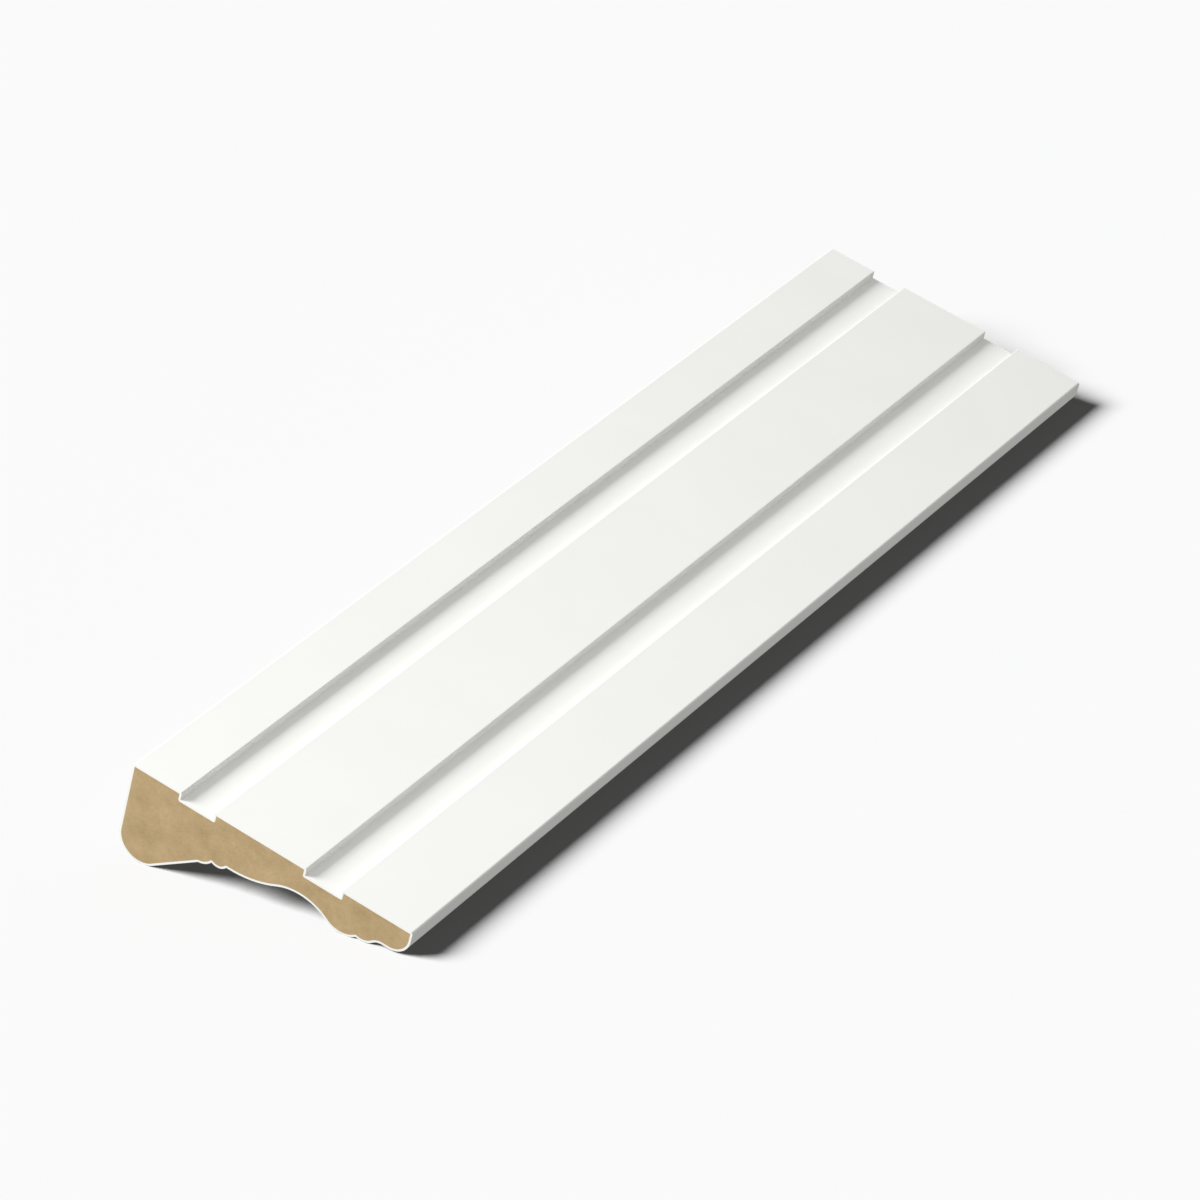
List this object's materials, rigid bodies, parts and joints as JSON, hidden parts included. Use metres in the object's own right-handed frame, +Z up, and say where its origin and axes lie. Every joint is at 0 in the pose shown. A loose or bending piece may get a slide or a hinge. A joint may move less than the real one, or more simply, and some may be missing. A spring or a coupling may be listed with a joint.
{
  "type": "colonial casing moulding",
  "caption": "Primed fibreboard colonial casing, a door and window trim moulding cut square, with an ogee face and relief grooves along its flat back.",
  "frame": {"origin": "centre of the box's underside, on the surface that the casing lies on face down", "axes": "+Z up; +Y along the length; the thick edge towards -X and the thin edge towards +X; the back looks up and leans 14.46 degrees towards +X"},
  "size_m": [0.0588, 0.2286, 0.0192],
  "materials": {
    "white_primer": "flat white primer, about 0.4 mm thick, on every face but the two saw cuts",
    "bare_fibreboard": "bare brown medium-density fibreboard, as the saw leaves it at the two ends"
  },
  "bodies": {
    "root": {"casing": "white_primer"}
  },
  "joints": []
}
